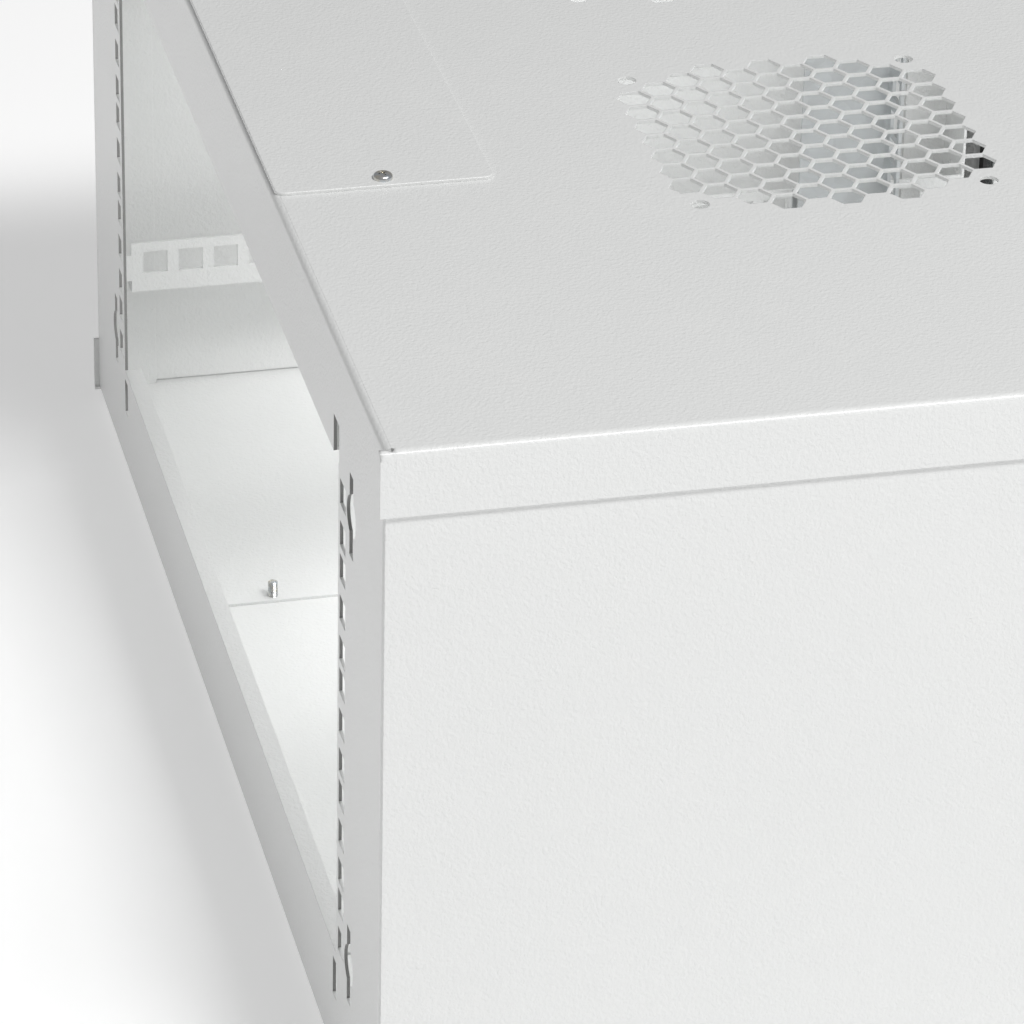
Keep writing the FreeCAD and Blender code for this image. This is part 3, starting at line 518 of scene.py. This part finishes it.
class Grower:
    """A Geometry Nodes tree with named inputs, and one method that makes any node of it."""

    def __init__(self, name):
        self.tree = bpy.data.node_groups.new(name, "GeometryNodeTree")
        self.tree.is_modifier = True
        face = self.tree.interface
        face.new_socket("Geometry", in_out="OUTPUT", socket_type="NodeSocketGeometry")
        self.inputs = {}
        self.source = None

    def input(self, name, kind, default):
        made = self.tree.interface.new_socket(name, in_out="INPUT", socket_type=kind)
        made.default_value = default
        self.inputs[name] = made.identifier
        return name

    def value(self, name):
        if self.source is None:
            self.source = self.tree.nodes.new("NodeGroupInput")
        return self.source.outputs[name]

    def node(self, kind, settings=None, values=None):
        made = self.tree.nodes.new(kind)
        for name, value in (settings or {}).items():
            setattr(made, name, value)
        for name, value in (values or {}).items():
            if isinstance(value, bpy.types.NodeSocket):
                self.tree.links.new(value, made.inputs[name])
            else:
                made.inputs[name].default_value = value
        return made

    def finish(self, instances, finish):
        real = self.node("GeometryNodeRealizeInstances", None, {0: instances})
        coated = self.node("GeometryNodeSetMaterial", None, {"Geometry": real.outputs[0]})
        coated.inputs["Material"].default_value = material(finish)
        out = self.tree.nodes.new("NodeGroupOutput")
        self.tree.links.new(coated.outputs[0], out.inputs[0])

    def grow(self, **values):
        """The tree's mesh for these input values, as plain mesh data."""
        holder = bpy.data.objects.new("holder", bpy.data.meshes.new("holder"))
        bpy.context.scene.collection.objects.link(holder)
        growth = holder.modifiers.new("growth", "NODES")
        growth.node_group = self.tree
        for name, value in values.items():
            growth[self.inputs[name.replace("_", " ")]] = value
        mesh = plain_mesh(holder)
        bpy.data.objects.remove(holder)
        if not mesh.polygons:
            raise RuntimeError(f"{self.tree.name} made nothing")
        return mesh


def thread_tree(finish):
    """A thread along +Z: each turn is two cones back to back, from root to crest."""
    tree = Grower("thread_" + finish)
    tree.input("crest", "NodeSocketFloat", 2 * MM)
    tree.input("root", "NodeSocketFloat", 1.6 * MM)
    tree.input("pitch", "NodeSocketFloat", 0.7 * MM)
    tree.input("turns", "NodeSocketInt", 10)
    tree.input("sides", "NodeSocketInt", 20)
    half = tree.node("ShaderNodeMath", {"operation": "MULTIPLY"}, {0: tree.value("pitch"), 1: 0.5})
    cones = []
    for bottom, top in (("root", "crest"), ("crest", "root")):
        cones.append(tree.node("GeometryNodeMeshCone", {"fill_type": "NGON"}, {
            "Vertices": tree.value("sides"), "Side Segments": 1,
            "Radius Top": tree.value(top), "Radius Bottom": tree.value(bottom),
            "Depth": half.outputs[0]}))
    lift = tree.node("ShaderNodeCombineXYZ", None, {"Z": half.outputs[0]})
    upper = tree.node("GeometryNodeTransform", None, {
        "Geometry": cones[1].outputs["Mesh"], "Translation": lift.outputs[0]})
    turn = tree.node("GeometryNodeJoinGeometry")
    tree.tree.links.new(upper.outputs[0], turn.inputs[0])
    tree.tree.links.new(cones[0].outputs["Mesh"], turn.inputs[0])
    step = tree.node("ShaderNodeCombineXYZ", None, {"Z": tree.value("pitch")})
    line = tree.node("GeometryNodeMeshLine", {"mode": "OFFSET"}, {
        "Count": tree.value("turns"), "Offset": step.outputs[0]})
    stack = tree.node("GeometryNodeInstanceOnPoints", None, {
        "Points": line.outputs[0], "Instance": turn.outputs[0]})
    tree.finish(stack.outputs[0], finish)
    return tree


def ring_tree(name, finish):
    """Small bosses set evenly round a circle about Z."""
    tree = Grower(name)
    tree.input("circle", "NodeSocketFloat", 8 * MM)
    tree.input("boss", "NodeSocketFloat", 0.8 * MM)
    tree.input("rise", "NodeSocketFloat", 0.4 * MM)
    tree.input("count", "NodeSocketInt", 14)
    ring = tree.node("GeometryNodeMeshCircle", {"fill_type": "NONE"}, {
        "Vertices": tree.value("count"), "Radius": tree.value("circle")})
    narrow = tree.node("ShaderNodeMath", {"operation": "MULTIPLY"}, {0: tree.value("boss"), 1: 0.6})
    boss = tree.node("GeometryNodeMeshCone", {"fill_type": "NGON"}, {
        "Vertices": 10, "Side Segments": 1, "Radius Top": narrow.outputs[0],
        "Radius Bottom": tree.value("boss"), "Depth": tree.value("rise")})
    spread = tree.node("GeometryNodeInstanceOnPoints", None, {
        "Points": ring.outputs[0], "Instance": boss.outputs["Mesh"]})
    tree.finish(spread.outputs[0], finish)
    return tree


def gather(name, pieces, finish, degrees=32):
    """One object from (mesh, matrix) pairs, shaded smooth but for its sharp edges."""
    bm = bmesh.new()
    for mesh, place in pieces:
        before = set(bm.verts)
        bm.from_mesh(mesh)
        fresh = [vertex for vertex in bm.verts if vertex not in before]
        bmesh.ops.transform(bm, matrix=place, verts=fresh)
    mesh = bpy.data.meshes.new(name)
    for face in bm.faces:
        face.material_index = 0
    bm.to_mesh(mesh)
    bm.free()
    smooth_by_angle(mesh, degrees)
    return mesh_object(name, mesh, finish)


def centre(node):
    low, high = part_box(node)
    return [(a + b) / 2 for a, b in zip(low, high)]


def screw_pieces(seat, direction, head, thread, length, pitch):
    """Head, plain neck and thread of one screw: the seat is where the head rests."""
    place = Matrix.Translation(Vector(seat)) @ facing(direction)
    down = Matrix.Rotation(math.pi, 4, "X")
    neck = pitch * 0.8
    bm = bmesh.new()
    radius = thread["crest"] * 0.93
    turned(bm, [(0.0, 0.0), (radius, 0.0), (radius, neck), (0.0, neck)], thread["sides"])
    bmesh.ops.recalc_face_normals(bm, faces=bm.faces)
    collar = bpy.data.meshes.new("neck")
    bm.to_mesh(collar)
    bm.free()
    turns = int((length - neck) / pitch)
    threaded = thread["tree"].grow(crest=thread["crest"], root=thread["crest"] * 0.80,
                                   pitch=pitch, turns=turns, sides=thread["sides"])
    return [(head, place), (collar, place @ down),
            (threaded, place @ down @ Matrix.Translation((0, 0, neck)))]


# ---------------------------------------------------------------- operators

class CABINET_OT_finishes(bpy.types.Operator):
    """Make every finish of the cabinet"""
    bl_idname = "cabinet.finishes"
    bl_label = "Make finishes"

    def execute(self, context):
        settings = context.scene.cabinet_finish
        paint_finish("powder_coat", settings)
        # The rear sheet's coat, with painted shade in the walls of its holes.
        paint_finish("powder_coat_hole_shade", settings, shade_hole_walls=True)
        sheet_zinc_finish(settings)
        plated_finish(settings)
        nickel_finish()
        rubber_finish(settings)
        foam_finish()
        nylon_finish()
        glass_finish(settings)
        return {"FINISHED"}


class CABINET_OT_sheet_metal(bpy.types.Operator):
    """Coat the folded sheets and the door, and galvanise the profiles"""
    bl_idname = "cabinet.sheet_metal"
    bl_label = "Coat the sheet metal"

    def execute(self, context):
        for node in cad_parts:
            if node in SHEET_FINISHES:
                dress(node, SHEET_FINISHES[node])
        return {"FINISHED"}


class CABINET_OT_door_fittings(bpy.types.Operator):
    """Finish the door's pane, bead, seal, bushes and pins"""
    bl_idname = "cabinet.door_fittings"
    bl_label = "Finish the door's fittings"

    def execute(self, context):
        for node, name in DOOR_FITTINGS.items():
            dress(node, name)
        return {"FINISHED"}


class CABINET_OT_plate_screws(bpy.types.Operator):
    """Make the cross-recessed screws of the two cable plates"""
    bl_idname = "cabinet.plate_screws"
    bl_label = "Make the plate screws"

    def execute(self, context):
        sizes = context.scene.cabinet_hardware
        tree = thread_tree("screw_zinc")
        thread = {"tree": tree, "crest": 2 * MM, "sides": sizes.thread_sides}
        for node, plate, upward in (("top_plate_screws", "top_cable_plate", 1),
                                    ("bottom_plate_screws", "bottom_cable_plate", -1)):
            low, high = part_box(node)
            sheet_low, sheet_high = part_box(plate)
            seat_level = sheet_high[2] if upward > 0 else sheet_low[2]
            head_height = high[2] - seat_level if upward > 0 else seat_level - low[2]
            length = seat_level - low[2] if upward > 0 else high[2] - seat_level
            radius = (high[1] - low[1]) / 2
            head = pan_head(radius, head_height)
            pieces = []
            for turn, x in ((0.3, low[0] + radius), (1.1, high[0] - radius)):
                seat = (x, (low[1] + high[1]) / 2, seat_level)
                spun = head.copy()
                spun.transform(Matrix.Rotation(turn, 4, "Z"))
                pieces += screw_pieces(seat, (0, 0, upward), spun, thread, length,
                                       sizes.thread_pitch)
            made = gather(node.replace("plate_screws", "cross_screws"), pieces, "screw_zinc")
            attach(made, "cabinet")
            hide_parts(node)
        return {"FINISHED"}


class CABINET_OT_profile_bolts(bpy.types.Operator):
    """Make the bolts that hold the mounting profiles to the rails"""
    bl_idname = "cabinet.profile_bolts"
    bl_label = "Make the profile bolts"

    def execute(self, context):
        sizes = context.scene.cabinet_hardware
        tree = thread_tree("screw_zinc")
        thread = {"tree": tree, "crest": 3 * MM, "sides": sizes.thread_sides}
        low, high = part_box("profile_bolts")
        rail_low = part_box("upper_rail_right")[0]
        radius = (high[1] - low[1]) / 2
        sheet_thickness = 1.5 * MM
        head_height = 3.6 * MM
        seat = rail_low[0] - sheet_thickness
        head = pan_head(radius, head_height)
        pieces = []
        for side in (-1, 1):
            for z in (low[2] + radius, high[2] - radius):
                place = (side * seat, (low[1] + high[1]) / 2, z)
                pieces += screw_pieces(place, (-side, 0, 0), head, thread, high[0] - seat,
                                       sizes.bolt_pitch)
        made = gather("profile_screws", pieces, "screw_zinc")
        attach(made, "cabinet")
        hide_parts("profile_bolts")
        dress("profile_nuts", "screw_zinc")
        return {"FINISHED"}


class CABINET_OT_earth_point(bpy.types.Operator):
    """Make the threaded earth stud and finish its nut"""
    bl_idname = "cabinet.earth_point"
    bl_label = "Make the earth point"

    def execute(self, context):
        sizes = context.scene.cabinet_hardware
        low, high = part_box("earth_stud")
        tree = thread_tree("screw_zinc")
        radius = (high[0] - low[0]) / 2
        turns = int((high[2] - low[2]) / sizes.bolt_pitch)
        rod = tree.grow(crest=radius, root=radius * 0.83, pitch=sizes.bolt_pitch, turns=turns,
                        sides=sizes.thread_sides)
        middle = centre("earth_stud")
        place = Matrix.Translation((middle[0], middle[1], low[2]))
        made = gather("earth_rod", [(rod, place)], "screw_zinc")
        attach(made, "cabinet")
        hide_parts("earth_stud")
        dress("earth_nut", "screw_zinc")
        return {"FINISHED"}


class CABINET_OT_feet(bpy.types.Operator):
    """Make the moulded rubber feet with their ringed, studded treads"""
    bl_idname = "cabinet.feet"
    bl_label = "Make the feet"

    def execute(self, context):
        sizes = context.scene.cabinet_hardware
        low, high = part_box("rubber_feet")
        radius, height = 11 * MM, high[2] - low[2]
        groove = 0.6 * MM
        slope = 0.4 * MM
        ring_start, ring_end, tread_start = 2.4 * MM, 5.2 * MM, 7.6 * MM
        stud_circle, stud_radius = 6.6 * MM, 0.55 * MM
        profile = [(0.0, groove), (ring_start, groove), (ring_start + slope, 0.0),
                   (ring_end, 0.0), (ring_end + slope, groove), (tread_start, groove),
                   (tread_start + slope, 0.0)]
        steps = 6
        bevel = 1.6 * MM
        for step in range(steps + 1):
            turn = math.pi / 2 * step / steps
            profile.append((radius - bevel + bevel * math.sin(turn),
                            bevel - bevel * math.cos(turn)))
        taper, top_taper = 0.5 * MM, 0.75 * MM
        profile += [(radius - taper, height * 0.8), (radius - top_taper, height), (0.0, height)]
        bm = bmesh.new()
        turned(bm, profile, 48)
        bmesh.ops.recalc_face_normals(bm, faces=bm.faces)
        pad = bpy.data.meshes.new("pad")
        bm.to_mesh(pad)
        bm.free()
        studs = ring_tree("tread_studs", "black_rubber").grow(
            circle=stud_circle, boss=stud_radius, rise=groove, count=sizes.tread_studs)
        pieces = []
        for x in (low[0] + radius, high[0] - radius):
            for y in (low[1] + radius, high[1] - radius):
                place = Matrix.Translation((x, y, low[2]))
                pieces += [(pad, place), (studs, place)]
        made = gather("moulded_feet", pieces, "black_rubber", 40)
        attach(made, "cabinet")
        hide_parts("rubber_feet")
        return {"FINISHED"}


class CABINET_OT_lock(bpy.types.Operator):
    """Finish the cam lock"""
    bl_idname = "cabinet.lock"
    bl_label = "Finish the lock"

    def execute(self, context):
        for node in ("lock_barrel", "lock_nut", "lock_plug"):
            dress(node, "lock_nickel")
        dress("lock_cam", "zinc_sheet")
        dress("lock_cam_screw", "screw_zinc")
        return {"FINISHED"}


class CABINET_OT_stage(bpy.types.Operator):
    """Set up the floor, the light and the camera"""
    bl_idname = "cabinet.stage"
    bl_label = "Set the stage"

    def execute(self, context):
        settings = context.scene.cabinet_stage
        floor_finish()
        make_floor()
        make_lights(settings)
        make_camera(settings)
        return {"FINISHED"}


PAINTED = (
    "top_cover", "bottom_cover", "side_panel_left", "side_panel_right",
    "front_frame", "top_cable_plate", "bottom_cable_plate", "door_frame", "upper_hinge_plate",
    "lower_hinge_plate", "upper_rail_left", "upper_rail_right", "lower_rail_left",
    "lower_rail_right", "front_flanges")
GALVANISED = ("mounting_profile_left", "mounting_profile_right", "profile_brackets")
# The rear sheet takes the coat with painted shade in its hole walls.
SHEET_FINISHES = {
    **dict.fromkeys(PAINTED, "powder_coat"), **dict.fromkeys(GALVANISED, "zinc_sheet"),
    "rear_frame": "powder_coat_hole_shade"}
DOOR_FITTINGS = {
    "door_glass": "tinted_glass", "glass_bead": "black_rubber", "door_seal": "seal_foam",
    "hinge_bushes": "nylon", "hinge_pins": "screw_zinc"}


# ---------------------------------------------------------------- stage

def floor_finish():
    """Matt white studio floor with the faintest unevenness."""
    floor = Finish("studio_floor")
    cloud = floor.noise(0.8, 2.0, 0.5)
    colour = floor.blend(cloud, (0.93, 0.93, 0.93), (0.90, 0.90, 0.90))
    return floor.done({"Base Color": colour, "Roughness": 0.9, "Specular IOR Level": 0.1,
                       "Emission Color": (1.0, 1.0, 1.0, 1.0), "Emission Strength": 0.29})


def make_floor():
    bm = bmesh.new()
    reach = 6.0
    bmesh.ops.create_grid(bm, x_segments=4, y_segments=4, size=reach)
    mesh = bpy.data.meshes.new("studio_floor")
    bm.to_mesh(mesh)
    bm.free()
    floor = mesh_object("studio_floor", mesh, "studio_floor")


def area_light(name, place, target, size, power):
    data = bpy.data.lights.new(name, "AREA")
    data.shape = "RECTANGLE"
    data.size, data.size_y = size
    data.energy = power
    lamp = bpy.data.objects.new(name, data)
    bpy.context.scene.collection.objects.link(lamp)
    lamp.location = place
    aim = Vector(target) - Vector(place)
    lamp.rotation_euler = aim.to_track_quat("-Z", "Y").to_euler()


def make_lights(settings):
    world = bpy.data.worlds.new("surround")
    world.use_nodes = True
    background = world.node_tree.nodes["Background"]
    background.inputs["Color"].default_value = (1.0, 1.0, 1.0, 1.0)
    background.inputs["Strength"].default_value = settings.sky
    bpy.context.scene.world = world
    power = settings.key_power
    area_light("key_light", (-1.7, -0.9, 3.0), (0, 0, 0.15), (1.5, 0.5), power)
    area_light("inside_light", (0, 0, 0.278), (0, 0, 0), (0.42, 0.22), power * 0.0105)


def make_camera(settings):
    data = bpy.data.cameras.new("view")
    data.sensor_width = 36.0
    data.lens = settings.focal_length
    data.clip_start = 0.05
    camera = bpy.data.objects.new("view", data)
    bpy.context.scene.collection.objects.link(camera)
    bpy.context.scene.view_settings.view_transform = "Standard"
    camera.location = (-1.7906, 0.5173, 1.1171)
    camera.rotation_euler = [math.radians(turn) for turn in (60.992, -1.126, -102.981)]
    bpy.context.scene.camera = camera


# ---------------------------------------------------------------- add-on

class CABINET_PT_panel(bpy.types.Panel):
    """The cabinet's tools in the sidebar"""
    bl_label = "Rack cabinet"
    bl_idname = "CABINET_PT_panel"
    bl_space_type = "VIEW_3D"
    bl_region_type = "UI"
    bl_category = "Cabinet"

    def draw(self, context):
        for group in ("cabinet_finish", "cabinet_hardware", "cabinet_stage"):
            settings = getattr(context.scene, group)
            box = self.layout.box()
            for name in settings.__annotations__:
                box.prop(settings, name)
        for operator in OPERATORS:
            self.layout.operator(operator.bl_idname)


GROUPS = {"cabinet_finish": CabinetFinish, "cabinet_hardware": CabinetHardware,
          "cabinet_stage": CabinetStage}
OPERATORS = (CABINET_OT_finishes, CABINET_OT_sheet_metal, CABINET_OT_door_fittings,
             CABINET_OT_plate_screws, CABINET_OT_profile_bolts, CABINET_OT_earth_point,
             CABINET_OT_feet, CABINET_OT_lock, CABINET_OT_stage)


def register():
    for item in (*GROUPS.values(), *OPERATORS, CABINET_PT_panel):
        bpy.utils.register_class(item)
    for name, group in GROUPS.items():
        setattr(bpy.types.Scene, name, PointerProperty(type=group))


def unregister():
    for name in GROUPS:
        delattr(bpy.types.Scene, name)
    for item in reversed((*GROUPS.values(), *OPERATORS, CABINET_PT_panel)):
        bpy.utils.unregister_class(item)


def main():
    register()
    bpy.ops.cabinet.finishes()
    bpy.ops.cabinet.sheet_metal()
    bpy.ops.cabinet.door_fittings()
    bpy.ops.cabinet.plate_screws()
    bpy.ops.cabinet.profile_bolts()
    bpy.ops.cabinet.earth_point()
    bpy.ops.cabinet.feet()
    bpy.ops.cabinet.lock()
    bpy.ops.cabinet.stage()


if __name__ == "__main__":
    main()
